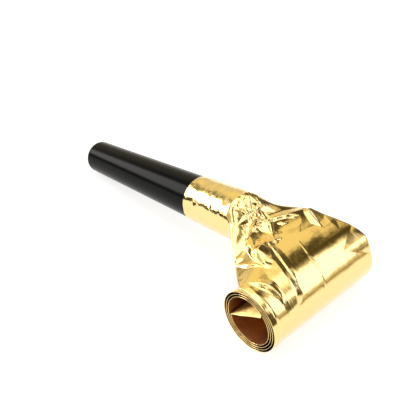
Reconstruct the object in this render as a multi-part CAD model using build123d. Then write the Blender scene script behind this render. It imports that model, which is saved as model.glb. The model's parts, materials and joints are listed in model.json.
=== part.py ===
from build123d import *
import os
from itertools import pairwise
from math import asin, atan2, cos, degrees, hypot, pi, radians, sin, tan

# A roll-out party horn lying on a table: a tapered black mouthpiece with a squawker reed inside,
# and a gold foil tube, flattened and wound into a roll, that a springy strip inside winds up again.
# Millimetres and degrees. X runs from the mouth to the roll, Y along the roll's axis, Z up.
# The origin is on the table, under the middle of the horn's box.

# Mouthpiece, measured along its own axis from the mouth end
MOUTH_DIAMETER = 13.1
WIDE_END_DIAMETER = 17.75
MOUTHPIECE_LENGTH = 89.0
MOUTHPIECE_WALL = 1.3
MOUTH_WALL = 2.4
MOUTH_ROUNDING = 2.0
AIR_HOLE_DIAMETER = 6.4

# Reed unit, pushed into the wide end of the mouthpiece
PLUG_INSET = 12.0
PLUG_LENGTH = 6.0
TROUGH_LENGTH = 24.0
TROUGH_DIAMETER = 7.2
TROUGH_FLAT_HEIGHT = 0.8
GROOVE_WIDTH = 3.2
GROOVE_DEPTH = 2.2
GROOVE_END_WALL = 3.0
CLIP_DIAMETER = 10.0
CLIP_LENGTH = 5.0
REED_WIDTH = 4.6
REED_THICKNESS = 0.15
REED_TONGUE_LENGTH = 17.5
REED_HEEL_LENGTH = 3.4
REED_OPENING_ANGLE = 3.6
REED_POCKET_HEIGHT = 0.8
REED_SIDE_CLEARANCE = 0.3
REED_FIT_CLEARANCE = 0.02

# Foil tube and its recoil strip
FOIL_TUBE_WIDTH = 50.0
FOIL_WALL = 0.12
STRIP_WIDTH = 4.0
STRIP_THICKNESS = 0.14
STRIP_CLEARANCE = 0.06
SLEEVE_LENGTH = 22.5
SLEEVE_WALL = 0.15
SLEEVE_GLUE_GAP = 0.05
NECK_LENGTH = 23.0
NECK_DROP = 1.3
NECK_FALL_LENGTH = 7.0
NECK_NEAR_FLARE = 1.25
NECK_FAR_SPREAD_LENGTH = 13.0
NECK_FAR_SPREAD_SHARE = 0.55
FLAT_RUN = 4.0
TIP_SEAL_LENGTH = 3.0
TIP_FLAP_LENGTH = 13.5
TIP_FLAP_TURN = 69.0

# Main folds of the gathered foil. Each ridge has points: along, as a share of the neck's length,
# across, as a share of the tube's half width, and high, as a share of the fold height.
# Then come the widths of its sides, left and right of that line, as shares of the neck's length.
FOLD_HEIGHT = 1.2
FOLDS = [
    ([(0.33, 0.13, 0), (0.37, 0.22, 0.85), (0.44, 0.44, 0.9), (0.5, 0.68, 0.75), (0.53, 0.8, 0)], 0.13, 0.28),
    ([(0.36, 0.06, 0), (0.37, 0, 0.5), (0.39, -0.12, 0.6), (0.43, -0.26, 0)], 0.17, 0.11),
    ([(0.66, 0.06, 0), (0.69, -0.06, 0.6), (0.65, -0.2, 0.6), (0.56, -0.3, 0)], 0.07, 0.17),
    ([(0.15, 0.14, 0), (0.26, 0.12, 0.6), (0.43, 0.1, 0.7), (0.73, -0.08, 0)], 0.06, 0.05),
    ([(0.63, -0.18, 0), (0.74, -0.2, 0.75), (0.94, -0.26, 1), (1.22, -0.34, 1.1), (1.51, -0.38, 0.75)],
     0.07, 0.07),
    ([(0.41, -0.32, 0), (0.52, -0.37, 0.9), (0.74, -0.44, 1), (0.93, -0.49, 0.35), (1, -0.5, 0)], 0.15, 0.09),
    ([(0.5, 0.78, 0), (0.61, 0.73, 0.85), (0.78, 0.66, 1), (0.98, 0.66, 0.15), (1.02, 0.67, 0)], 0.17, 0.1),
    ([(1.02, -0.86, 0), (1.13, -0.78, 0.85), (1.26, -0.72, 1), (1.39, -0.7, 0.65), (1.52, -0.7, 0)],
     0.13, 0.08),
]

# Roll
ROLL_DIAMETER = 23.6
ROLL_TURNS = 3.7
ROLL_LINKS = 25
LAYER_GAP = 0.38
LINK_CLEARANCE = 0.1

# Fineness of the folded foil: facets across its upper and under side, and the length of a facet
UPPER_FACETS = 30
UNDER_FACETS = 15
FACET_LENGTH = 2.1
EDGE_SHARPNESS = 8


# Sizes worked out from the driving dimensions
FOIL_THICKNESS = STRIP_THICKNESS + 2 * STRIP_CLEARANCE + 2 * FOIL_WALL
LAYER_PITCH = FOIL_THICKNESS + LAYER_GAP
LINK_ANGLE = 360 * ROLL_TURNS / (ROLL_LINKS + 0.5)


def mouthpiece_radius(u):
    """Outer radius of the mouthpiece at the distance u from its mouth end."""
    return (MOUTH_DIAMETER + (WIDE_END_DIAMETER - MOUTH_DIAMETER) * u / MOUTHPIECE_LENGTH) / 2


def bore_radius(u):
    return mouthpiece_radius(u) - MOUTHPIECE_WALL


class Arc:
    """One arc of the roll: its centre in X and Z, its mid-wall radius and its turn from the roll's top."""

    def __init__(self, centre_x, centre_z, radius, start, end):
        self.centre_x = centre_x
        self.centre_z = centre_z
        self.radius = radius
        self.start = start
        self.end = end

    def point(self, turn):
        x = self.centre_x + self.radius * sin(radians(turn))
        z = self.centre_z + self.radius * cos(radians(turn))
        return Vector(x, 0, z)

    def plane(self, turn):
        """Section plane across the foil: local x along the roll's axis, local y outwards."""
        along = (cos(radians(turn)), 0, -sin(radians(turn)))
        return Plane(origin=self.point(turn), x_dir=(0, 1, 0), z_dir=along)

    def axis(self):
        return Axis((self.centre_x, 0, self.centre_z), (0, 1, 0))


def roll_arcs(start_x, start_z):
    """The spiral as tangent arcs from its top: a half link that stays fixed, then one arc for each link."""
    radius = (ROLL_DIAMETER - FOIL_THICKNESS) / 2
    arcs = [Arc(start_x, start_z - radius, radius, 0, LINK_ANGLE / 2)]
    for index in range(ROLL_LINKS):
        last = arcs[-1]
        radius = last.radius - LAYER_PITCH * LINK_ANGLE / 360
        hinge = last.point(last.end)
        share = radius / last.radius
        centre_x = hinge.X + (last.centre_x - hinge.X) * share
        centre_z = hinge.Z + (last.centre_z - hinge.Z) * share
        arcs.append(Arc(centre_x, centre_z, radius, last.end, last.end + LINK_ANGLE))
    return arcs


def roll_reach(arcs, turn):
    """The arc that passes the given turn first, and its outermost point there."""
    arc = next(each for each in arcs if each.start <= turn <= each.end)
    outer = Arc(arc.centre_x, arc.centre_z, arc.radius + FOIL_THICKNESS / 2, arc.start, arc.end)
    return outer.point(turn)


# The roll stands on the table, so the flat foil runs into it at the height of its top
TRIAL_ROLL = roll_arcs(0, 0)
STRIP_Z = -roll_reach(TRIAL_ROLL, 180).Z
ROLL_REACH_X = roll_reach(TRIAL_ROLL, 90).X

# The mouthpiece leans from its mouth end on the table to a wide end a little above the flat foil
WIDE_END_Z = STRIP_Z + NECK_DROP
FLAT_MOUTH_RADIUS = MOUTH_DIAMETER / 2 - MOUTH_ROUNDING
LEAN_LENGTH = MOUTHPIECE_LENGTH - MOUTH_ROUNDING
LEAN_SINE = (WIDE_END_Z - MOUTH_ROUNDING) / hypot(FLAT_MOUTH_RADIUS, LEAN_LENGTH)
TILT = degrees(asin(LEAN_SINE) - atan2(FLAT_MOUTH_RADIUS, LEAN_LENGTH))
MOUTH_Z = WIDE_END_Z - MOUTHPIECE_LENGTH * sin(radians(TILT))

# Places along X, counted from the mouth, and the shift that puts the origin under the middle
NECK_START = MOUTHPIECE_LENGTH * cos(radians(TILT))
NECK_END = NECK_START + NECK_LENGTH
ROLL_START = NECK_END + FLAT_RUN
MOUTH_REACH = MOUTH_ROUNDING * (1 - cos(radians(TILT))) + FLAT_MOUTH_RADIUS * sin(radians(TILT))
MOUTH_X = (MOUTH_REACH - ROLL_START - ROLL_REACH_X) / 2
TUBE = Location((MOUTH_X, 0, MOUTH_Z), (0, -TILT, 0))

# The first hinge also straightens the foil to the mouthpiece's lean when the horn is blown
FIRST_UNROLL_ANGLE = LINK_ANGLE + TILT
LINK_GAP = FOIL_THICKNESS * tan(radians(FIRST_UNROLL_ANGLE / 2)) + LINK_CLEARANCE

ROLL = roll_arcs(MOUTH_X + ROLL_START, STRIP_Z)

# Places along the mouthpiece for the reed unit
PLUG_END = MOUTHPIECE_LENGTH - PLUG_INSET
PLUG_START = PLUG_END - PLUG_LENGTH
TROUGH_START = PLUG_START - TROUGH_LENGTH
CLIP_START = PLUG_START - CLIP_LENGTH
REED_HINGE_U = CLIP_START
REED_HINGE_V = TROUGH_FLAT_HEIGHT + REED_POCKET_HEIGHT / 2


def cross_section(u):
    """Plane across the mouthpiece's axis at u, with local x along Y and local y up."""
    return Plane(origin=(u, 0, 0), x_dir=(0, 1, 0), z_dir=(1, 0, 0))


def turned(points):
    """A solid of revolution about the mouthpiece's axis from (u, radius) points."""
    outline = Polyline(*[(u, 0, radius) for u, radius in points], close=True)
    return revolve(make_face(outline), Axis.X)


def mouthpiece():
    radius = MOUTH_DIAMETER / 2
    outline = [
        (0, AIR_HOLE_DIAMETER / 2),
        (0, radius),
        (MOUTHPIECE_LENGTH, mouthpiece_radius(MOUTHPIECE_LENGTH)),
        (MOUTHPIECE_LENGTH, bore_radius(MOUTHPIECE_LENGTH)),
        (MOUTH_WALL, bore_radius(MOUTH_WALL)),
        (MOUTH_WALL, AIR_HOLE_DIAMETER / 2),
    ]
    body = turned(outline)
    mouth_edge = body.edges().filter_by(GeomType.CIRCLE).group_by(Axis.X)[0].sort_by(SortBy.RADIUS)[-1]
    return TUBE * fillet(mouth_edge, MOUTH_ROUNDING)


def trough_profile(clearance):
    """D-shaped section of the reed trough: a round bar with a flat for the reed."""
    round_bar = Circle(TROUGH_DIAMETER / 2 + clearance)
    height = TROUGH_DIAMETER
    above_flat = Pos(0, TROUGH_FLAT_HEIGHT + clearance + height / 2) * Rectangle(2 * height, height)
    return round_bar - above_flat


def reed_block():
    """Press-fit plug with the trough that the reed beats on, and the groove that takes its air."""
    plug_outline = [
        (PLUG_START, 0),
        (PLUG_START, bore_radius(PLUG_START) - REED_FIT_CLEARANCE),
        (PLUG_END, bore_radius(PLUG_END) - REED_FIT_CLEARANCE),
        (PLUG_END, 0),
    ]
    trough = extrude(cross_section(TROUGH_START) * trough_profile(0), TROUGH_LENGTH)
    groove_start = TROUGH_START + GROOVE_END_WALL
    groove_profile = Pos(0, TROUGH_FLAT_HEIGHT - GROOVE_DEPTH / 2) * Rectangle(GROOVE_WIDTH, GROOVE_DEPTH)
    groove = extrude(cross_section(groove_start) * groove_profile, PLUG_END - groove_start)
    return TUBE * (turned(plug_outline) + trough - groove)


def reed_clip():
    """Collar round the trough, against the plug, with a pocket that holds the reed's heel."""
    ring = Circle(CLIP_DIAMETER / 2) - trough_profile(REED_FIT_CLEARANCE)
    pocket_width = REED_WIDTH + 2 * REED_SIDE_CLEARANCE
    pocket = Pos(0, TROUGH_FLAT_HEIGHT + REED_POCKET_HEIGHT / 2) * Rectangle(pocket_width, REED_POCKET_HEIGHT)
    return TUBE * extrude(cross_section(CLIP_START) * (ring - pocket), CLIP_LENGTH)


def reed():
    """Thin tongue, held at its heel and standing a little open over the trough's groove."""
    length = REED_TONGUE_LENGTH + REED_HEEL_LENGTH
    middle = (REED_HEEL_LENGTH - REED_TONGUE_LENGTH) / 2
    blade = Pos(middle, 0, 0) * Box(length, REED_WIDTH, REED_THICKNESS)
    tip_corners = blade.edges().filter_by(Axis.Z).group_by(Axis.X)[0]
    blade = fillet(tip_corners, REED_WIDTH / 4)
    opened = Location((REED_HINGE_U, 0, REED_HINGE_V), (0, REED_OPENING_ANGLE, 0))
    return TUBE * opened * blade


def sleeve_inner_radius(u):
    return mouthpiece_radius(u) + SLEEVE_GLUE_GAP


def foil_sleeve():
    """The foil's end, wrapped round the mouthpiece and glued."""
    ends = (MOUTHPIECE_LENGTH - SLEEVE_LENGTH, MOUTHPIECE_LENGTH)
    outside = loft([cross_section(u) * Circle(sleeve_inner_radius(u) + SLEEVE_WALL) for u in ends])
    inside = loft([cross_section(u) * Circle(sleeve_inner_radius(u)) for u in ends])
    return TUBE * (outside - inside)


def neck_fall(along):
    """Share of the round end's height that is left at a distance along the neck."""
    end = (1 + (NECK_LENGTH / NECK_FALL_LENGTH)**2)**-1.5
    here = (1 + (min(along, NECK_LENGTH) / NECK_FALL_LENGTH)**2)**-1.5
    return (here - end) / (1 - end)


def far_spread(along):
    """Share of its full spread that the far side has at a distance along: quick at first, then even."""
    quick = min(along / NECK_FAR_SPREAD_LENGTH, 1)
    even = min(along / (NECK_LENGTH + FLAT_RUN), 1)
    return NECK_FAR_SPREAD_SHARE * quick**2 * (3 - 2 * quick) + (1 - NECK_FAR_SPREAD_SHARE) * even


def near_spread(along):
    return min(along / NECK_LENGTH, 1)**NECK_NEAR_FLARE


def ridge_height(start, end, left_width, right_width, place):
    """Height that one stretch of a ridge gives a place: full on its line, none past its sides."""
    foot = Vector(start[0], start[1])
    run = Vector(end[0], end[1]) - foot
    share = min(max((place - foot).dot(run) / run.dot(run), 0), 1)
    off_line = place - foot - run * share
    width = left_width if run.cross(off_line).Z > 0 else right_width
    height = start[2] + share * (end[2] - start[2])
    return height * max(0, 1 - off_line.length / width)


def fold_height(place):
    """Height of all folds at a place (along, across) of the upper sheet."""
    total = 0
    for ridge, left_share, right_share in FOLDS:
        points = [(s * NECK_LENGTH, y * FOIL_TUBE_WIDTH / 2, h * FOLD_HEIGHT) for s, y, h in ridge]
        sides = (left_share * NECK_LENGTH, right_share * NECK_LENGTH)
        total += max(ridge_height(*ends, *sides, place) for ends in pairwise(points))
    return total


def foil_middle(along):
    """Middle of the foil at a distance along from the sleeve, and the direction that stands up from it."""
    if along < NECK_LENGTH:
        lean = radians(TILT * (1 - along / NECK_LENGTH))
        middle = Vector(MOUTH_X + NECK_START + along, 0, STRIP_Z + NECK_DROP * neck_fall(along))
        return middle, Vector(-sin(lean), 0, cos(lean))
    past_flat = along - NECK_LENGTH - FLAT_RUN
    turn = max(past_flat, 0) / ROLL[0].radius
    middle = ROLL[0].point(degrees(turn)) + Vector(min(past_flat, 0), 0, 0)
    return middle, Vector(sin(turn), 0, cos(turn))


def gather_section(along, inset):
    """Corners of the foil tube's section: round at the sleeve, flat at the roll, folded on its upper side."""
    round_radius = sleeve_inner_radius(MOUTHPIECE_LENGTH) + SLEEVE_WALL
    flat = min(along / NECK_LENGTH, 1)
    half_height = FOIL_THICKNESS / 2 + (round_radius - FOIL_THICKNESS / 2) * neck_fall(along)
    middle, upward = foil_middle(along)
    upper = [0.5 * index / UPPER_FACETS for index in range(UPPER_FACETS)]
    under = [0.5 + 0.5 * index / UNDER_FACETS for index in range(UNDER_FACETS)]
    corners = []
    for share in upper + under:
        angle = 2 * pi * share
        is_upper = share < 0.5
        side = 1 - 4 * share if is_upper else 4 * share - 3
        flat_up = (1 - abs(side)**EDGE_SHARPNESS)**(1 / EDGE_SHARPNESS) * (1 if is_upper else -1)
        spread = far_spread(along) if cos(angle) > 0 else near_spread(along)
        half_width = round_radius + (FOIL_TUBE_WIDTH / 2 - round_radius) * spread
        width_share = cos(angle) * (1 - flat) + side * flat
        up = (half_height - inset) * (sin(angle) * (1 - flat) + flat_up * flat)
        if is_upper:
            up += fold_height(Vector(along, half_width * width_share))
        corners.append(middle + upward * up + Vector(0, (half_width - inset) * width_share, 0))
    return corners


def folded_skin(sections):
    """A solid inside the flat triangles between sections of as many corners, closed by its end sections."""
    faces = [Face(Wire.make_polygon(section)) for section in (sections[0], sections[-1])]
    count = len(sections[0])
    for near, far in pairwise(sections):
        for index in range(count):
            following = (index + 1) % count
            faces.append(Face(Wire.make_polygon([near[index], near[following], far[index]])))
            faces.append(Face(Wire.make_polygon([near[following], far[following], far[index]])))
    return Solid(Shell(faces))


def gathered_foil(start, end):
    """The hollow foil tube between two distances along from the sleeve."""
    count = round((end - start) / FACET_LENGTH)
    places = [start + (end - start) * index / count for index in range(count + 1)]
    outside = folded_skin([gather_section(along, 0) for along in places])
    inside = folded_skin([gather_section(along, FOIL_WALL) for along in places])
    return outside - inside


def foil_neck():
    """Where the foil tube is gathered from flat to round."""
    return gathered_foil(0, NECK_LENGTH)


def foil_lead_in():
    """The flat run into the roll and the fixed first half link."""
    arc_length = radians(LINK_ANGLE / 2) * ROLL[0].radius - LINK_GAP / 2
    return gathered_foil(NECK_LENGTH, NECK_LENGTH + FLAT_RUN + arc_length)


def flat_tube_section(inset):
    """The flattened tube's section, with its side edges folded sharp."""
    return Rectangle(FOIL_TUBE_WIDTH - 2 * inset, FOIL_THICKNESS - 2 * inset)


def strip_section():
    return Rectangle(STRIP_WIDTH, STRIP_THICKNESS)


def swept_arc(arc, section, start_trim, end_trim):
    """A section carried round an arc, shortened at its ends by lengths of foil."""
    per_length = 180 / (pi * arc.radius)
    start = arc.start + start_trim * per_length
    end = arc.end - end_trim * per_length
    return revolve(arc.plane(start) * section, arc.axis(), end - start)


def recoil_strip_root():
    """The strip's fixed end, along the flat run and round the fixed first half link."""
    start = Plane(origin=(MOUTH_X + NECK_END, 0, STRIP_Z), x_dir=(0, 1, 0), z_dir=(1, 0, 0))
    flat = extrude(start * strip_section(), FLAT_RUN)
    return flat + swept_arc(ROLL[0], strip_section(), 0, LINK_GAP / 2)


def tip_flap():
    """The foil's sealed end, bent across the hollow of the roll."""
    last = ROLL[-1]
    heading = radians(last.end + TIP_FLAP_TURN)
    bend = Plane(origin=last.point(last.end), x_dir=(0, 1, 0), z_dir=(cos(heading), 0, -sin(heading)))
    return extrude(bend * Rectangle(FOIL_TUBE_WIDTH, 2 * FOIL_WALL), TIP_FLAP_LENGTH)


def foil_link(index):
    """One link of the wound foil tube. The last one is closed by its sealed tip, which is bent inwards."""
    arc = ROLL[index]
    is_tip = index == ROLL_LINKS
    end_trim = 0 if is_tip else LINK_GAP / 2
    seal = TIP_SEAL_LENGTH if is_tip else 0
    outside = swept_arc(arc, flat_tube_section(0), LINK_GAP / 2, end_trim)
    inside = swept_arc(arc, flat_tube_section(FOIL_WALL), LINK_GAP / 2, end_trim + seal)
    if is_tip:
        outside += tip_flap()
    return outside - inside


def recoil_strip_link(index):
    """The piece of the recoil strip inside one link of the foil tube."""
    end_trim = TIP_SEAL_LENGTH + STRIP_CLEARANCE if index == ROLL_LINKS else LINK_GAP / 2
    return swept_arc(ROLL[index], strip_section(), LINK_GAP / 2, end_trim)


def nodes():
    made = {
        "mouthpiece": mouthpiece(),
        "reed_block": reed_block(),
        "reed_clip": reed_clip(),
        "reed": reed(),
        "foil_sleeve": foil_sleeve(),
        "foil_neck": foil_neck(),
        "foil_lead_in": foil_lead_in(),
        "recoil_strip_root": recoil_strip_root(),
    }
    for index in range(1, ROLL_LINKS + 1):
        made[f"foil_link_{index:02d}"] = foil_link(index)
        made[f"recoil_strip_{index:02d}"] = recoil_strip_link(index)
    return made


os.makedirs("parts", exist_ok=True)
for name, shape in nodes().items():
    export_step(shape, f"parts/{name}.step")
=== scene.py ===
"""Looks of a roll-out party horn: a satin black mouthpiece and a crumpled gold foil tube wound into a roll.

Sizes of the horn are in millimetres and turned into metres where a mesh is made. X runs from the mouth to
the roll, Y along the roll's axis and Z up, as in the CAD frame. The near side is towards -Y, the far side
towards +Y. The stage, its lights and the depths of a finish are in metres.
"""
import json
import math

import bpy
import numpy as np
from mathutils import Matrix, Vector
from mathutils.geometry import delaunay_2d_cdt


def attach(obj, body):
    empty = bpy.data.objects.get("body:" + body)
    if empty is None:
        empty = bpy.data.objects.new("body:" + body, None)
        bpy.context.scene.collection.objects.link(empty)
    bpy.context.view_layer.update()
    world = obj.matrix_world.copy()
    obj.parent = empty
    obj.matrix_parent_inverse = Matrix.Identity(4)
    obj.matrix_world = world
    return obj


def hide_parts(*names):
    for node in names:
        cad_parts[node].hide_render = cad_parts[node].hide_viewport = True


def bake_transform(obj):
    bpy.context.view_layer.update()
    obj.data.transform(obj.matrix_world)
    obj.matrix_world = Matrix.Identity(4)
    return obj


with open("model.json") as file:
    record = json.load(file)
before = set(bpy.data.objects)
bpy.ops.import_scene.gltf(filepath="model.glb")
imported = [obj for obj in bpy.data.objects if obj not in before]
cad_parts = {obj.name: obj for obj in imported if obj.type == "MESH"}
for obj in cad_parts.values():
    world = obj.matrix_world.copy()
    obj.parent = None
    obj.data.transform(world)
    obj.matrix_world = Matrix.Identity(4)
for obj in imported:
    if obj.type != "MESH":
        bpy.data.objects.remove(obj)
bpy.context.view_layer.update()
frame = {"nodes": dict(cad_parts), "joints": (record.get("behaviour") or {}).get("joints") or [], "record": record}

MM = 0.001
TINY = 1e-9

# Sizes of the horn, as in the CAD source
MOUTHPIECE_LENGTH = 89.0
MOUTH_DIAMETER = 13.1
WIDE_END_DIAMETER = 17.75
MOUTH_WALL = 2.4
SLEEVE_LENGTH = 22.5
SLEEVE_STANDOFF = 0.2
NECK_LENGTH = 23.0
NECK_DROP = 1.3
NECK_FALL_LENGTH = 7.0
NEAR_FLARE = 1.25
FAR_SPREAD_LENGTH = 13.0
FAR_SPREAD_SHARE = 0.55
FLAT_RUN = 4.0
FOIL_WIDTH = 50.0
FOIL_THICKNESS = 0.5
STRIP_WIDTH = 4.0
STRIP_THICKNESS = 0.14
ROLL_TURNS = 3.7
EDGE_SHARPNESS = 8

# Forms that only the looks have: the neck's soft and sagging near side, thin turns and a drooping tip
NEAR_SOFT_LENGTH = 6.0
NEAR_DROOP = 2.4
NEAR_DROOP_WIDTH = 8.0
NEAR_DROOP_REACH = (6.0, 24.0)
NEAR_DROOP_ENDS = 6.0
TURN_THICKNESS = 0.24
THINNING_TURN = 0.5
FLAP_LENGTH = 15.0
FLAP_TURN = math.radians(63.0)
FLAP_THICKNESS = 0.24
FLAP_BEND = 5.0
FLAP_DROOP = 3.2
FLAP_DROOP_WIDTH = 5.5
FLAP_WRINKLE = 0.15

# Fineness of the foil's meshes
GATHER_STEP = 0.25
GATHER_COLUMNS = 360
OUTER_STEP = 0.3
OUTER_COLUMNS = 250
INNER_STEP = 0.7
INNER_COLUMNS = 110
STRIP_COLUMNS = 10
FLAP_ROWS = 40
LEAST_ROWS = 3
EDGE_PLACE = 0.002
SHEET_PER_UV = 100.0

# The first links are crumpled and fine, and in the last ones the under face is painted a darker red gold, as
# painted shade in the hollow
FINE_LINKS = 8
CORE_LINKS = 8

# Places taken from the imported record
record = frame["record"]
inlet = next(mount for mount in record["mounts"] if mount["name"] == "air_inlet")
TUBE_AXIS = -np.array(inlet["axis"])
MOUTH = np.array(inlet["pos_m"]) / MM - TUBE_AXIS * MOUTH_WALL / 2
TILT = math.asin(TUBE_AXIS[2])
HINGES = [np.array(joint["pos_m"]) / MM for joint in frame["joints"] if joint["name"].startswith("unroll")]
LINKS = len(HINGES)
LINK_ANGLE = 2 * math.pi * ROLL_TURNS / (LINKS + 0.5)
FULL_TURN = 2 * math.pi * ROLL_TURNS


def roll_circles():
    """Centres (X, Z) and radii of the roll's tangent arcs, worked out from the hinges that they join."""
    places = np.array([hinge[[0, 2]] for hinge in HINGES])
    chords = np.linalg.norm(np.diff(places, axis=0), axis=1)
    inner = chords / (2 * math.sin(LINK_ANGLE / 2))
    step = (inner[0] - inner[-1]) / (len(inner) - 1)
    radii = np.concatenate([[inner[0] + step], inner, [inner[-1] - step]])
    turns = (np.arange(1, LINKS + 1) - 0.5) * LINK_ANGLE
    outward = np.stack([np.sin(turns), np.cos(turns)], 1)
    centres = places - radii[1:, None] * outward
    first = places[0] - radii[0] * outward[0]
    return np.vstack([first, centres]), radii


ROLL_CENTRES, ROLL_RADII = roll_circles()
NECK_START = MOUTH + TUBE_AXIS * MOUTHPIECE_LENGTH
STRIP_Z = ROLL_CENTRES[0][1] + ROLL_RADII[0]
ROLL_S = NECK_LENGTH + FLAT_RUN


def smooth(value):
    """Smooth step from 0 to 1."""
    value = np.clip(value, 0, 1)
    return value * value * (3 - 2 * value)


# The crumpled foil: heights over the smooth sheet, in s along the foil from the neck's start and y across

# Main folds, each a line of (s, y, height) with the widths of its left and right sides, seen along the line
FOLDS = [
    # Crest of the far facet, and the groove beside it
    ([(7.4, 3.6, 0), (8.8, 5.5, 0.9), (10.2, 11.0, 1.2), (11.6, 17.0, 1.1), (12.4, 20.2, 0)], 2.2, 9.0),
    ([(8.8, 4.2, 0), (9.9, 6.5, -0.6), (11.2, 10.0, -0.6), (12.2, 14.0, 0)], 1.2, 5.0),
    # Groove and crest of the petal next to the pucker
    ([(7.9, 2.2, 0), (8.1, -1.0, -0.75), (8.6, -4.0, -0.75), (9.6, -7.4, 0)], 5.5, 1.5),
    ([(15.4, 1.8, 0), (16.0, -1.5, 0.7), (15.2, -5.0, 0.7), (12.8, -7.8, 0)], 1.4, 3.4),
    # Ridge from the sleeve past the pucker
    ([(2.5, 3.5, 0), (6.0, 3.0, 0.8), (10.0, 2.6, 0.8), (16.7, -2.0, 0)], 1.2, 1.0),
    # Two ridges of the long tongue that runs on to the roll
    ([(14.5, -4.0, 0), (17.0, -4.8, 0.5), (22.0, -6.2, 0.55), (28.0, -8.1, 0.5), (33.5, -9.2, 0)], 2.4, 0.45),
    (
        [(14.0, -6.0, 0), (17.0, -7.2, 0.5), (22.0, -8.8, 0.6), (35.4, -12.0, 0.75), (36.0, -12.1, 0)],
        3.0, 6.0,
    ),
    # Ridge above the near flank, and the short ridge across it
    ([(9.0, -7.6, 0), (12.0, -9.2, 1.2), (17.0, -11.0, 1.3), (21.5, -12.2, 0.5), (23.5, -12.7, 0)], 6.0, 1.8),
    ([(14.6, -6.0, 0), (15.4, -8.0, 1.5), (16.2, -10.2, 1.5), (17.2, -12.6, 0)], 5.2, 1.6),
    # Small lens on the far facet, and the longer lens at its end
    ([(10.6, 5.0, 0), (11.9, 7.0, 0.45), (13.0, 9.2, 0)], 0.9, 0.9),
    ([(11.5, 19.5, 0), (14.0, 18.2, 0.9), (18.0, 16.6, 1.0), (22.0, 16.2, 0)], 1.6, 2.0),
    # Arch of the pocket at the roll's near end
    (
        [(23.0, -21.8, 0), (26.0, -19.6, 1.0), (29.0, -18.0, 1.2), (32.0, -17.5, 0.8), (35.5, -17.4, 0)],
        2.6, 1.6,
    ),
    # Two creases of the near flank
    ([(11.2, -10.6, 0), (12.6, -14.5, 0.5), (13.3, -17.4, 0)], 1.3, 1.6),
    ([(12.8, -17.4, 0), (17.5, -15.2, 0.6), (22.4, -12.9, 0)], 1.3, 1.6),
    # Lap seam
    ([(20.5, 4.6, 0), (22.1, 4.0, 0.14), (27.7, 2.3, 0.14), (38.7, 0.2, 0.14), (44.0, -0.8, 0)], 0.3, 0.5),
    # Slight ridge along the far edge, and the puffed far corner
    ([(18.0, 22.0, 0), (22.0, 20.4, 0.3), (27.0, 19.8, 0)], 2.4, 1.6),
    ([(33.5, 13.0, 0), (33.5, 25.5, 1.4)], 6.0, 6.0),
    # Crease along the roll's near rim
    ([(22.0, -23.2, 0), (25.0, -22.8, 0.3), (45.0, -22.7, 0.3), (70.0, -22.7, 0)], 0.7, 2.3),
]

# The pucker where the foil is drawn together: its centre (s, y), and (degrees, length, height) of its folds
PUCKER = (5.5, -1.5)
PUCKER_FOLDS = [
    (170, 4.5, 0.5), (138, 6.0, 0.6), (103, 7.7, 0.7), (62, 5.0, 0.6), (22, 4.5, 0.5),
    (-42, 3.0, 0.5), (-58, 9.0, 0.6), (-95, 6.0, 0.6), (-135, 6.0, 0.5),
]
PUCKER_FOLD_WIDTH = 1.1
PUCKER_FOLD_PEAK = 0.35

# Soft round places of the sheet, each with its centre (s, y) and its reach in s and y
SWELL = ((22.0, 0.0), (7.0, 24.0))
SWELL_HEIGHT = 1.3
CHIPS = ((4.0, 2.0), (3.6, 5.5))
GATHERED = ((7.0, 0.0), (8.0, 14.0))

# Random facets: how many of each kind, and the lowest and highest (s, y) where their corners fall
SEED = 11
UNDER_SEED = SEED + 5
FLAP_SEED = SEED + 9
BROAD_FACETS = 330
MEDIUM_FACETS = 1300
FINE_FACETS = 3800
FLAP_FACETS = 900
FACET_REACH = ((-25, -29), (110, 29))
SAME_PLACE = 1e-5

# Heights of the facets on the flat foil, the neck, the gather, the chips and the sleeve, and where they fade
FLAT_BROAD = 0.03
FLAT_MEDIUM = 0.005
NECK_BROAD = 0.03
NECK_BROAD_END = 30.0
NECK_BROAD_FADE = 6.0
GATHERED_BROAD = 0.10
GATHERED_MEDIUM = 0.05
CHIP_MEDIUM = 0.75
CHIP_FINE = 0.3
SLEEVE_WRINKLE = 0.14
SLEEVE_MEDIUM_SHARE = 0.6
SLEEVE_FINE_SHARE = 0.4
SLEEVE_FADE = 4.0
CALM_EDGE_SHARE = 1 / 8


def fold_heights(points, left_width, right_width, s, y):
    """Height of one fold: a ridge or groove whose two flat sides run to the sheet, pointed at its ends."""
    height = np.zeros(np.shape(s))
    peak = max(abs(point[2]) for point in points)
    sign = 1 if max(point[2] for point in points) > 0 else -1
    for (s0, y0, h0), (s1, y1, h1) in zip(points, points[1:]):
        length = math.hypot(s1 - s0, y1 - y0)
        along_s, along_y = (s1 - s0) / length, (y1 - y0) / length
        share = np.clip(((s - s0) * along_s + (y - y0) * along_y) / length, 0, 1)
        off_s = s - s0 - share * (s1 - s0)
        off_y = y - y0 - share * (y1 - y0)
        on_left = along_s * off_y - along_y * off_s > 0
        slope = peak / np.where(on_left, left_width, right_width)
        part = np.clip(np.abs(h0 + share * (h1 - h0)) - np.hypot(off_s, off_y) * slope, 0, None) * sign
        height = np.where(np.abs(part) > np.abs(height), part, height)
    return height


def pucker_line(degrees, length, height):
    """One fold of the pucker, from its centre outwards."""
    step_s = length * math.cos(math.radians(degrees))
    step_y = length * math.sin(math.radians(degrees))
    places = [(0.0, 0.0), (PUCKER_FOLD_PEAK, height), (1.0, 0.0)]
    return [(PUCKER[0] + share * step_s, PUCKER[1] + share * step_y, h) for share, h in places]


def hump(place, s, y):
    """1 at the centre of a soft round place, and next to nothing past its reach."""
    (centre_s, centre_y), (reach_s, reach_y) = place
    return np.exp(-((s - centre_s) / reach_s)**2 - ((y - centre_y) / reach_y)**2)


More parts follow.
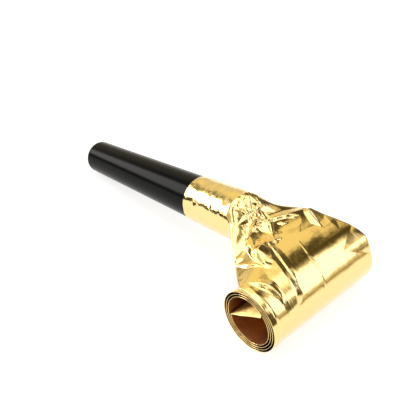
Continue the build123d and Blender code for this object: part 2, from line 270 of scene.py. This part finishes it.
def creased_heights(s, y):
    """The main folds of the visible sheet."""
    height = SWELL_HEIGHT * hump(SWELL, s, y)
    for points, left_width, right_width in FOLDS:
        height += fold_heights(points, left_width, right_width, s, y)
    for fold in PUCKER_FOLDS:
        height += fold_heights(pucker_line(*fold), PUCKER_FOLD_WIDTH, PUCKER_FOLD_WIDTH, s, y)
    return height


def facet_heights(knots, s, y):
    """Heights of the flat triangles through (s, y, height) knots."""
    flat = [Vector((knot[0], knot[1])) for knot in knots]
    corners, _, triangles, sources, _, _ = delaunay_2d_cdt(flat, [], [], 0, SAME_PLACE)
    order = np.argsort(s, axis=None)
    place_s = s.ravel()[order]
    place_y = y.ravel()[order]
    height = np.zeros(s.size)
    for triangle in triangles:
        a, b, c = (corners[index] for index in triangle)
        ha, hb, hc = (knots[sources[index][0]][2] for index in triangle)
        area = (b.x - a.x) * (c.y - a.y) - (c.x - a.x) * (b.y - a.y)
        if abs(area) < TINY:
            continue
        first, last = np.searchsorted(place_s, [min(a.x, b.x, c.x), max(a.x, b.x, c.x)])
        near_s = place_s[first:last] - a.x
        near_y = place_y[first:last] - a.y
        wb = (near_s * (c.y - a.y) - (c.x - a.x) * near_y) / area
        wc = ((b.x - a.x) * near_y - near_s * (b.y - a.y)) / area
        inside = (wb >= 0) & (wc >= 0) & (wb + wc <= 1)
        height[order[first:last][inside]] = (ha + wb * (hb - ha) + wc * (hc - ha))[inside]
    return height.reshape(s.shape)


def crumple_heights(s, y, count, seed):
    """Heights from -1 to 1 of small random facets."""
    random = np.random.default_rng(seed)
    spread = random.uniform(*FACET_REACH, (count, 2))
    knots = [(p[0], p[1], h) for p, h in zip(spread, random.uniform(-1, 1, count))]
    return facet_heights(knots, s, y)


def crumple(s, y, seed):
    """Small random facets of one sheet: small and steep at the pucker, broad and slight away from it."""
    broad = crumple_heights(s, y, BROAD_FACETS, seed)
    medium = crumple_heights(s, y, MEDIUM_FACETS, seed + 1)
    fine = crumple_heights(s, y, FINE_FACETS, seed + 2)
    gathered = hump(GATHERED, s, y)
    on_neck = smooth((NECK_BROAD_END - s) / NECK_BROAD_FADE)
    on_sleeve = smooth(-s / SLEEVE_FADE)
    flat = (FLAT_BROAD + NECK_BROAD * on_neck + GATHERED_BROAD * gathered) * broad
    flat += (FLAT_MEDIUM + GATHERED_MEDIUM * gathered) * medium
    chips = hump(CHIPS, s, y) * (CHIP_MEDIUM * medium + CHIP_FINE * fine)
    wrapped = SLEEVE_WRINKLE * (1 + SLEEVE_MEDIUM_SHARE * medium + SLEEVE_FINE_SHARE * fine)
    return (1 - on_sleeve) * (flat + chips) + on_sleeve * wrapped


# The foil's smooth form, with v from 0 to 1 round the tube: far edge, upper side, near edge, under side

def across_tube(v):
    """Place across the flattened tube, from 1 at its far edge to -1 at its near edge."""
    return np.where(v <= 0.5, 1 - 4 * v, 4 * v - 3)


def flat_height(v):
    """Height of the flattened tube's skin: 1 on the upper side, -1 below, and 0 at the two edges."""
    sign = np.where(v <= 0.5, 1.0, -1.0)
    return sign * np.clip(1 - np.abs(across_tube(v))**EDGE_SHARPNESS, 0, 1)**(1 / EDGE_SHARPNESS)


def round_places(columns):
    """Even places round the flattened tube, with two more close to each of its edges."""
    close = np.array([EDGE_PLACE, -EDGE_PLACE])
    even = np.arange(columns) / columns
    return np.unique(np.concatenate([even, close % 1, 0.5 + close]))


def mouthpiece_radius(u):
    """Outer radius of the mouthpiece at u along it from the mouth."""
    return (MOUTH_DIAMETER + (WIDE_END_DIAMETER - MOUTH_DIAMETER) * u / MOUTHPIECE_LENGTH) / 2


def neck_fall(s):
    """How much of the round end's height is left at s along the neck: 1 at its start, 0 at its end."""
    end = (1 + (NECK_LENGTH / NECK_FALL_LENGTH)**2)**-1.5
    along = np.clip(s, 0, NECK_LENGTH) / NECK_FALL_LENGTH
    return ((1 + along**2)**-1.5 - end) / (1 - end)


def far_spread(s):
    """How far the neck's far side has spread: quickly at first, then evenly up to the roll."""
    quick = FAR_SPREAD_SHARE * smooth(s / FAR_SPREAD_LENGTH)
    return quick + (1 - FAR_SPREAD_SHARE) * np.clip(s / ROLL_S, 0, 1)


def near_spread(s):
    """How far the neck's near side has spread: softly at first, then in one sweep up to the flat foil."""
    share = np.clip(s / NECK_LENGTH, 0, 1)
    begun = smooth(s / NEAR_SOFT_LENGTH)
    return begun * share**NEAR_FLARE + (1 - begun) * share**2


def near_droop(s, across, radius):
    """How far the neck's near side sags."""
    first, last = NEAR_DROOP_REACH
    drooping = smooth((s - first) / NEAR_DROOP_ENDS) * smooth((last - s) / NEAR_DROOP_ENDS)
    near_edge = -radius - (FOIL_WIDTH / 2 - radius) * near_spread(s)
    return NEAR_DROOP * drooping * np.clip(1 - (across - near_edge) / NEAR_DROOP_WIDTH, 0, 1)


def gather_form(s, v):
    """Points and places across of the sleeve, neck and flat run: s along from the neck's start, v round."""
    share = np.clip(s / NECK_LENGTH, 0, 1)
    left = 1 - share
    behind = np.minimum(s, 0)
    radius = mouthpiece_radius(MOUTHPIECE_LENGTH + behind) + SLEEVE_STANDOFF
    spread = np.where(np.cos(2 * math.pi * v) > 0, far_spread(s), near_spread(s))
    half_width = radius + (FOIL_WIDTH / 2 - radius) * spread
    height_left = neck_fall(s)
    half_height = FOIL_THICKNESS / 2 + (radius - FOIL_THICKNESS / 2) * height_left
    across = half_width * (np.cos(2 * math.pi * v) * left + across_tube(v) * share)
    up = half_height * (np.sin(2 * math.pi * v) * left + flat_height(v) * share)
    lean = TILT * left
    x = NECK_START[0] + behind * math.cos(TILT) + np.maximum(s, 0) - up * np.sin(lean)
    z = STRIP_Z + NECK_DROP * height_left + behind * math.sin(TILT) + up * np.cos(lean)
    return np.stack([x, across, z - near_droop(s, across, radius)], -1), across


def roll_form(turn, v, width, thickness):
    """Points and places across of the wound tube: turn round the roll, v round the flattened tube."""
    index = np.clip(np.floor(turn / LINK_ANGLE + 0.5).astype(int), 0, LINKS)
    centre = ROLL_CENTRES[index]
    reach = ROLL_RADII[index] + thickness / 2 * flat_height(v)
    x = centre[..., 0] + reach * np.sin(turn)
    z = centre[..., 1] + reach * np.cos(turn)
    across = width / 2 * across_tube(v)
    return np.stack([x, across, z], -1), across


def roll_middle(turn):
    """The middle of the foil at a turn of the roll."""
    points, _ = roll_form(np.array([turn]), np.zeros(1), 0.0, 0.0)
    return points[0]


def roll_length(turn):
    """Length of foil from the neck's start to a turn of the roll."""
    return ROLL_S + ROLL_RADII[0] * turn - (ROLL_RADII[0] - ROLL_RADII[-1]) * turn**2 / (2 * FULL_TURN)


# Meshes

def add_object(name, data):
    """A new object in the scene."""
    made = bpy.data.objects.new(name, data)
    bpy.context.scene.collection.objects.link(made)
    return made


def grid_normals(points):
    """Unit normals of a grid of points that closes on itself along its second axis."""
    along = np.gradient(points, axis=0)
    round_it = np.roll(points, -1, axis=1) - np.roll(points, 1, axis=1)
    normals = np.cross(round_it, along)
    return normals / np.maximum(np.linalg.norm(normals, axis=-1, keepdims=True), TINY)


def tube_mesh(name, points, normals, places, material, shaded_under_material=None):
    """A mesh object from a grid of points, closed round its second axis, with the sheet places as its UVs."""
    rows, columns = points.shape[:2]
    index = np.arange(rows * columns).reshape(rows, columns)
    following = np.roll(index, -1, axis=1)
    quads = np.stack([index[:-1], following[:-1], following[1:], index[1:]], -1).reshape(-1, 4)
    mesh = bpy.data.meshes.new(name)
    mesh.from_pydata((points.reshape(-1, 3) * MM).tolist(), [], quads.tolist())
    mesh.polygons.foreach_set("use_smooth", [True] * len(quads))
    layer = mesh.uv_layers.new(name="sheet")
    corners = np.zeros(len(mesh.loops), int)
    mesh.loops.foreach_get("vertex_index", corners)
    layer.data.foreach_set("uv", (places.reshape(-1, 2)[corners] / SHEET_PER_UV).ravel())
    mesh.normals_split_custom_set_from_vertices(normals.reshape(-1, 3).tolist())
    mesh.materials.append(material)
    # A second material for the under half carries the painted shade of the roll's hollow
    if shaded_under_material:
        mesh.materials.append(shaded_under_material)
        column = np.arange(columns)
        is_under = (column > columns / 2) & (column < columns - 1)
        mesh.polygons.foreach_set("material_index", np.tile(is_under, rows - 1).astype(int))
    return add_object(name, mesh)


def displaced(points, normals, s, across, v):
    """Moves a grid of foil along its normals by its folds, which both sheets share where it is flat."""
    on_top = v <= 0.5
    flat = np.clip(s / NECK_LENGTH, 0, 1)
    folds = creased_heights(s, across)
    edge = smooth((1 - np.abs(across_tube(v))) / CALM_EDGE_SHARE)
    top = folds + crumple(s, across, SEED) * edge
    under = crumple(s, across, UNDER_SEED) * edge - folds * flat
    return points + normals * np.where(on_top, top, under)[..., None]


def make_gather(material):
    """Sleeve, neck and flat run of the foil in one crumpled piece."""
    rows = np.arange(-SLEEVE_LENGTH, ROLL_S + GATHER_STEP / 2, GATHER_STEP)
    rows[-1] = ROLL_S
    s, v = np.meshgrid(rows, round_places(GATHER_COLUMNS), indexing="ij")
    smooth_form, across = gather_form(s, v)
    points = displaced(smooth_form, grid_normals(smooth_form), s, across, v)
    places = np.stack([s, across], -1)
    return tube_mesh("foil_gather", points, grid_normals(points), places, material)


def make_roll_piece(name, index, materials, width, thickness, step, columns, crumpled):
    """One stretch of the wound tube, from the middle of one link to the middle of the next."""
    first = index * LINK_ANGLE
    last = min(first + LINK_ANGLE, FULL_TURN)
    count = max(LEAST_ROWS, int(round((last - first) * ROLL_RADII[0] / step)))
    spacing = (last - first) / count
    turns = first + spacing * np.arange(-1, count + 2)
    turn, v = np.meshgrid(turns, round_places(columns), indexing="ij")
    thinned = thickness + (min(thickness, TURN_THICKNESS) - thickness) * smooth(turn / THINNING_TURN)
    points, across = roll_form(turn, v, width, thinned)
    s = roll_length(turn)
    if crumpled:
        points = displaced(points, grid_normals(points), s, across, v)
    normals = grid_normals(points)
    places = np.stack([s, across], -1)
    return tube_mesh(name, points[1:-1], normals[1:-1], places[1:-1], *materials)


def make_flap(material):
    """The foil's sealed end, bent across the hollow of the roll, with corners that droop."""
    rows = np.linspace(0, FLAP_LENGTH, FLAP_ROWS)
    along, v = np.meshgrid(rows, round_places(INNER_COLUMNS), indexing="ij")
    across = FOIL_WIDTH / 2 * across_tube(v)
    droop_start = FOIL_WIDTH / 2 - FLAP_DROOP_WIDTH * along / FLAP_LENGTH
    droop = FLAP_DROOP / FLAP_DROOP_WIDTH * np.clip(np.abs(across) - droop_start, 0, None)
    wrinkles = FLAP_WRINKLE * crumple_heights(along, across, FLAP_FACETS, FLAP_SEED)
    up = FLAP_THICKNESS / 2 * flat_height(v) + wrinkles * smooth(along / FLAP_BEND) - droop
    heading = FULL_TURN + FLAP_TURN
    forward = np.array([math.cos(heading), 0, -math.sin(heading)])
    upward = np.array([math.sin(heading), 0, math.cos(heading)])
    points = roll_middle(FULL_TURN) + along[..., None] * forward + up[..., None] * upward
    points[..., 1] += across
    return tube_mesh("foil_tip_flap", points, grid_normals(points), np.stack([along, across], -1), material)


# Materials

# Sockets of a colour mix
MIX_FIRST = 6
MIX_SECOND = 7
MIX_RESULT = 2

# Film: fine streaks along the strip and broader wrinkles, under a thin clear coat
FOIL_COAT = {"Coat Weight": 0.5, "Coat Roughness": 0.05}
STREAK_STRETCH = (4, 90, 1)
STREAK_NOISE = {"Scale": 3.0, "Detail": 3.0}
STREAK_BUMP = {"Strength": 0.22, "Distance": 0.0002}
WRINKLE_NOISE = {"Scale": 18.0, "Detail": 2.0}
WRINKLE_DEPTH = 0.0012

# Moulded plastic
BLACK_PLASTIC = {"Base Color": (0.003, 0.003, 0.0035, 1), "IOR": 1.17}
BLACK_SKIN_NOISE = {"Scale": 900.0, "Detail": 2.0}
BLACK_SKIN_BUMP = {"Strength": 0.05, "Distance": 0.0001}
BLACK_SKIN_ROUGHNESS = (0.14, 0.22)
PALE_SKIN_NOISE = {"Scale": 400.0, "Detail": 2.0}
PALE_SKIN_SHADE = 0.92

# Floor and backdrop, which glow by an amount of their own
PALE_STAGE = {
    "Roughness": 0.9,
    "Specular IOR Level": 0.0,
    "Base Color": (0.4, 0.4, 0.4, 1),
    "Emission Color": (1, 1, 1, 1),
}


def set_inputs(node, values):
    """Puts plain values on a node's own sockets."""
    for name, value in values.items():
        node.inputs[name].default_value = value


def new_material(name, values):
    """A material whose shader has the given plain values, with its node tree and shader."""
    material = bpy.data.materials.new(name)
    material.use_nodes = True
    shader = material.node_tree.nodes["Principled BSDF"]
    set_inputs(shader, values)
    return material, material.node_tree, shader


def add_noise(tree, place, values):
    """Noise over a place, as the socket with its value."""
    noise = tree.nodes.new("ShaderNodeTexNoise")
    set_inputs(noise, values)
    tree.links.new(place, noise.inputs["Vector"])
    return noise.outputs["Fac"]


def add_bump(tree, height, values):
    """A bump node over a height."""
    bump = tree.nodes.new("ShaderNodeBump")
    set_inputs(bump, values)
    tree.links.new(height, bump.inputs["Height"])
    return bump


def add_uneven_gloss(tree, shader, value, lowest, highest):
    """Roughness that follows a value."""
    spread = tree.nodes.new("ShaderNodeMapRange")
    set_inputs(spread, {"To Min": lowest, "To Max": highest})
    tree.links.new(value, spread.inputs["Value"])
    tree.links.new(spread.outputs["Result"], shader.inputs["Roughness"])


def add_mix(tree, factor, first, second):
    """A mix of two colours by a factor."""
    mix = tree.nodes.new("ShaderNodeMix")
    mix.data_type = "RGBA"
    mix.inputs[MIX_FIRST].default_value = (*first, 1)
    mix.inputs[MIX_SECOND].default_value = (*second, 1)
    tree.links.new(factor, mix.inputs["Factor"])
    return mix


def gold_foil(name, colour, wrinkle, glossy, dull):
    """Metallised film: a mirror with fine streaks along the strip and small wrinkles."""
    material, tree, shader = new_material(name, {"Base Color": (*colour, 1), "Metallic": 1, **FOIL_COAT})
    place = tree.nodes.new("ShaderNodeUVMap")
    place.uv_map = "sheet"
    stretch = tree.nodes.new("ShaderNodeMapping")
    set_inputs(stretch, {"Scale": STREAK_STRETCH})
    tree.links.new(place.outputs["UV"], stretch.inputs["Vector"])
    streaks = add_noise(tree, stretch.outputs["Vector"], STREAK_NOISE)
    wrinkles = add_noise(tree, place.outputs["UV"], WRINKLE_NOISE)
    fine = add_bump(tree, streaks, STREAK_BUMP)
    broad = add_bump(tree, wrinkles, {"Strength": wrinkle, "Distance": WRINKLE_DEPTH})
    tree.links.new(broad.outputs["Normal"], fine.inputs["Normal"])
    tree.links.new(fine.outputs["Normal"], shader.inputs["Normal"])
    add_uneven_gloss(tree, shader, streaks, glossy, dull)
    return material


def black_plastic():
    """Moulded satin black plastic with a faint uneven skin."""
    material, tree, shader = new_material("black_plastic", BLACK_PLASTIC)
    place = tree.nodes.new("ShaderNodeTexCoord")
    skin = add_noise(tree, place.outputs["Object"], BLACK_SKIN_NOISE)
    bump = add_bump(tree, skin, BLACK_SKIN_BUMP)
    tree.links.new(bump.outputs["Normal"], shader.inputs["Normal"])
    add_uneven_gloss(tree, shader, skin, *BLACK_SKIN_ROUGHNESS)
    return material


def pale_plastic(name, colour, roughness):
    """Plain moulded plastic or film with a slightly uneven colour."""
    material, tree, shader = new_material(name, {"Roughness": roughness})
    place = tree.nodes.new("ShaderNodeTexCoord")
    skin = add_noise(tree, place.outputs["Object"], PALE_SKIN_NOISE)
    tint = add_mix(tree, skin, colour, [channel * PALE_SKIN_SHADE for channel in colour])
    tree.links.new(tint.outputs[MIX_RESULT], shader.inputs["Base Color"])
    return material


# Building the horn

GOLD = gold_foil("gold_foil", (0.92, 0.70, 0.30), wrinkle=0.12, glossy=0.06, dull=0.15)
# A darker, redder and duller copy of the gold film: painted shade for the under face of the roll's inner turns
SHADED_INNER_GOLD = gold_foil("gold_foil_inner_painted_shade", (0.70, 0.33, 0.14), wrinkle=0.30, glossy=0.35, dull=0.50)
# A paler, brighter copy of the gold film for the tip flap: painted light that makes the flap read as lit
LIT_TIP_GOLD = gold_foil("gold_foil_tip_painted_light", (1.0, 0.88, 0.38), wrinkle=0.12, glossy=0.40, dull=0.50)
CLEAR = pale_plastic("clear_strip", (0.86, 0.88, 0.88), roughness=0.2)


def body_of_link(index):
    """The body of a link, or the mouthpiece for index 0."""
    return f"roll_link_{index:02d}" if index else "mouthpiece"


def hang(piece, index):
    """Bakes a stretch of the roll into place, or lets it ride on the last link."""
    if index < LINKS:
        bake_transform(piece)
    else:
        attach(piece, body_of_link(LINKS))


def foil_stretch(index):
    """One stretch of the wound foil: crumpled and fine in the outer turn, and in the last one painted shade
    inside, a darker red gold on its under face.
    """
    is_outer = index < FINE_LINKS
    is_shaded_core = index > LINKS - CORE_LINKS
    name = f"foil_roll_{index:02d}"
    # The last links take the painted shade on their under face
    materials = (GOLD, SHADED_INNER_GOLD) if is_shaded_core else (GOLD,)
    step = OUTER_STEP if is_outer else INNER_STEP
    columns = OUTER_COLUMNS if is_outer else INNER_COLUMNS
    return make_roll_piece(
        name, index, materials, FOIL_WIDTH, FOIL_THICKNESS, step, columns, crumpled=is_outer,
    )


def strip_stretch(index):
    """One stretch of the clear recoil strip inside the foil."""
    name = f"strip_roll_{index:02d}"
    return make_roll_piece(
        name, index, (CLEAR,), STRIP_WIDTH, STRIP_THICKNESS, INNER_STEP, STRIP_COLUMNS, crumpled=False,
    )


def paint(node, material):
    """Gives a CAD node's own mesh a material."""
    target = frame["nodes"][node].data.materials
    target.clear()
    target.append(material)


gather = make_gather(GOLD)
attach(gather, "mouthpiece")
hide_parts("foil_sleeve", "foil_neck", "foil_lead_in")

for number in range(LINKS + 1):
    foil = foil_stretch(number)
    hang(foil, number)
    strip = strip_stretch(number)
    hang(strip, number)
    if number:
        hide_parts(f"foil_link_{number:02d}")
        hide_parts(f"recoil_strip_{number:02d}")
    else:
        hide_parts("recoil_strip_root")

flap = make_flap(LIT_TIP_GOLD)
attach(flap, body_of_link(LINKS))

paint("mouthpiece", black_plastic())
paint("reed_block", pale_plastic("reed_plastic", (0.82, 0.8, 0.74), roughness=0.4))
paint("reed_clip", pale_plastic("clip_plastic", (0.8, 0.78, 0.72), roughness=0.4))
paint("reed", pale_plastic("reed_film", (0.75, 0.76, 0.74), roughness=0.15))


# Floor, light and camera

FLOOR_SIZE = (6.0, 6.0)
FLOOR_GLOW = 0.74
BACKDROP_RADIUS = 2.9
BACKDROP_HEIGHT = 1.6
BACKDROP_SIDES = 64
BACKDROP_GLOW = 1.0

# Area lights: name, place, target, size, radiance and colour
SOFTBOXES = [
    ("left_box", (-0.58, -0.36, 0.28), (0, 0, 0.03), (0.50, 0.32), 4.8, (1, 1, 1)),
    ("right_box", (0.44, 0.44, 0.44), (0.05, 0, 0.02), (0.50, 0.50), 1.35, (0.92, 0.97, 1.2)),
]

# Dark cards for the foil to mirror: name, place, target, size and tone
DARK_CARDS = [
    ("low_card", (-0.27, -0.25, 0.03), (0, 0, 0.03), (0.9, 0.06), 0.02),
    ("right_card", (0.55, 0.42, 0.085), (0.05, 0, 0.02), (1.0, 0.034), 0.10),
]
CARD_COLOUR = (1, 0.8, 0.4)

# The studio that the foil mirrors: a pale tent, and patches of other tones, each painted over those before.
# A patch has a direction, the degrees from it to the end of its full tone and of its soft edge, and its tone.
STUDIO_TONE = (0.80, 0.71, 0.50)
STUDIO_PATCHES = [
    ((-0.10, -0.20, 1.00), 28, 44, (2.2, 2.15, 2.0)),
    ((-0.52, 0.50, 0.68), 14, 30, (1.03, 0.88, 0.47)),
    ((-0.28, 0.86, 0.40), 7, 16, (0.14, 0.115, 0.06)),
    ((-0.12, 0.62, 0.78), 6, 17, (0.08, 0.062, 0.025)),
    ((-0.16, 0.76, 0.62), 5, 13, (0.09, 0.07, 0.03)),
    ((0.95, 0.20, 0.24), 10, 20, (0.10, 0.08, 0.04)),
    ((0.42, 0.88, 0.24), 11, 20, (0.10, 0.08, 0.04)),
    ((0.80, -0.02, 0.60), 10, 18, (0.08, 0.06, 0.03)),
    ((0.48, 0.14, 0.86), 5, 11, (0.08, 0.06, 0.03)),
    ((0.28, 0.84, 0.46), 5, 11, (0.08, 0.06, 0.03)),
    ((0.80, 0.30, 0.52), 4, 9, (0.08, 0.06, 0.03)),
    ((0.20, -0.45, 0.87), 6, 12, (0.10, 0.08, 0.04)),
    ((-0.85, 0.00, 0.53), 3, 11, (0.30, 0.27, 0.18)),
    ((0.10, -0.97, 0.10), 25, 45, (0.55, 0.50, 0.40)),
    ((0.00, 1.00, 0.02), 16, 28, (0.12, 0.10, 0.06)),
    ((0.57, -0.53, 0.62), 6, 14, (0.14, 0.12, 0.09)),
    ((-0.48, -0.52, 0.71), 6, 13, (0.10, 0.08, 0.04)),
]

CAMERA_PLACE = (152.14, -139.07, 179.67)
CAMERA_TARGET = (-15.10, 16.32, 0.0)
CAMERA_LENS = 63.0
CAMERA_SENSOR = 36.0


def aim(obj, target):
    """Turns a light, card or camera to face a target."""
    obj.rotation_euler = (Vector(target) - obj.location).to_track_quat("-Z", "Y").to_euler()


def stage_piece(name, corners, faces, material):
    """A mesh of the stage, which isn't part of the horn."""
    mesh = bpy.data.meshes.new(name)
    mesh.from_pydata(corners, [], faces)
    mesh.materials.append(material)
    made = add_object(name, mesh)
    return made


def flat_piece(name, size, material):
    """A flat rectangle of the stage."""
    half_x, half_y = size[0] / 2, size[1] / 2
    corners = [(-half_x, -half_y, 0), (half_x, -half_y, 0), (half_x, half_y, 0), (-half_x, half_y, 0)]
    return stage_piece(name, corners, [(0, 1, 2, 3)], material)


def hide_from(piece, *rays):
    """Leaves a piece of the stage out of some kinds of rays."""
    for ray in rays:
        setattr(piece, f"visible_{ray}", False)


def pale_stage(name, glow):
    """The finish of a pale light table, or of the wall behind it."""
    material, _, _ = new_material(name, {**PALE_STAGE, "Emission Strength": glow})
    return material


def make_backdrop():
    """A pale wall round the floor, for the camera alone."""
    turns = [2 * math.pi * step / BACKDROP_SIDES for step in range(BACKDROP_SIDES)]
    ring = [(BACKDROP_RADIUS * math.cos(turn), BACKDROP_RADIUS * math.sin(turn)) for turn in turns]
    corners = [(x, y, z) for z in (0, BACKDROP_HEIGHT) for x, y in ring]
    following = [(step + 1) % BACKDROP_SIDES for step in range(BACKDROP_SIDES)]
    walls = [(a, b, b + BACKDROP_SIDES, a + BACKDROP_SIDES) for a, b in enumerate(following)]
    wall = stage_piece("backdrop", corners, walls, pale_stage("pale_backdrop", BACKDROP_GLOW))
    hide_from(wall, "diffuse", "glossy", "transmission", "shadow")


def make_studio():
    """Surroundings for the foil to mirror."""
    world = bpy.data.worlds.new("studio")
    bpy.context.scene.world = world
    world.use_nodes = True
    tree = world.node_tree
    direction = tree.nodes.new("ShaderNodeTexCoord")
    painted = None
    for centre, inner, outer, colour in STUDIO_PATCHES:
        facing = tree.nodes.new("ShaderNodeVectorMath")
        facing.operation = "DOT_PRODUCT"
        facing.inputs[1].default_value = Vector(centre).normalized()
        tree.links.new(direction.outputs["Generated"], facing.inputs[0])
        patch = tree.nodes.new("ShaderNodeMapRange")
        patch.interpolation_type = "SMOOTHSTEP"
        soft_end = math.cos(math.radians(outer))
        full_end = math.cos(math.radians(inner))
        set_inputs(patch, {"From Min": soft_end, "From Max": full_end})
        tree.links.new(facing.outputs["Value"], patch.inputs["Value"])
        tone = add_mix(tree, patch.outputs["Result"], STUDIO_TONE, colour)
        if painted:
            tree.links.new(painted, tone.inputs[MIX_FIRST])
        painted = tone.outputs[MIX_RESULT]
    tree.links.new(painted, tree.nodes["Background"].inputs["Color"])


def make_softbox(name, place, target, size, radiance, colour):
    """A rectangular area light of the given radiance."""
    light = bpy.data.lights.new(name, "AREA")
    light.shape = "RECTANGLE"
    light.size, light.size_y = size
    light.energy = radiance * math.pi * size[0] * size[1]
    light.color = colour
    made = add_object(name, light)
    made.location = place
    aim(made, target)


def make_dark_card(name, place, target, size, tone):
    """A dark card that the foil mirrors; it isn't seen by the camera."""
    colour = [channel * tone for channel in CARD_COLOUR]
    material, _, _ = new_material(name, {"Base Color": (*colour, 1), "Roughness": 1.0})
    card = flat_piece(name, size, material)
    card.location = place
    aim(card, target)
    hide_from(card, "camera", "shadow", "diffuse")


def make_camera():
    """The photograph's viewing angle."""
    data = bpy.data.cameras.new("camera")
    data.lens = CAMERA_LENS
    data.sensor_width = CAMERA_SENSOR
    camera = add_object("camera", data)
    camera.location = Vector(CAMERA_PLACE) * MM
    aim(camera, Vector(CAMERA_TARGET) * MM)
    bpy.context.scene.camera = camera


flat_piece("floor", FLOOR_SIZE, pale_stage("pale_floor", FLOOR_GLOW))
make_backdrop()
make_studio()
for softbox in SOFTBOXES:
    make_softbox(*softbox)
for dark_card in DARK_CARDS:
    make_dark_card(*dark_card)
make_camera()
bpy.context.scene.view_settings.view_transform = "Standard"
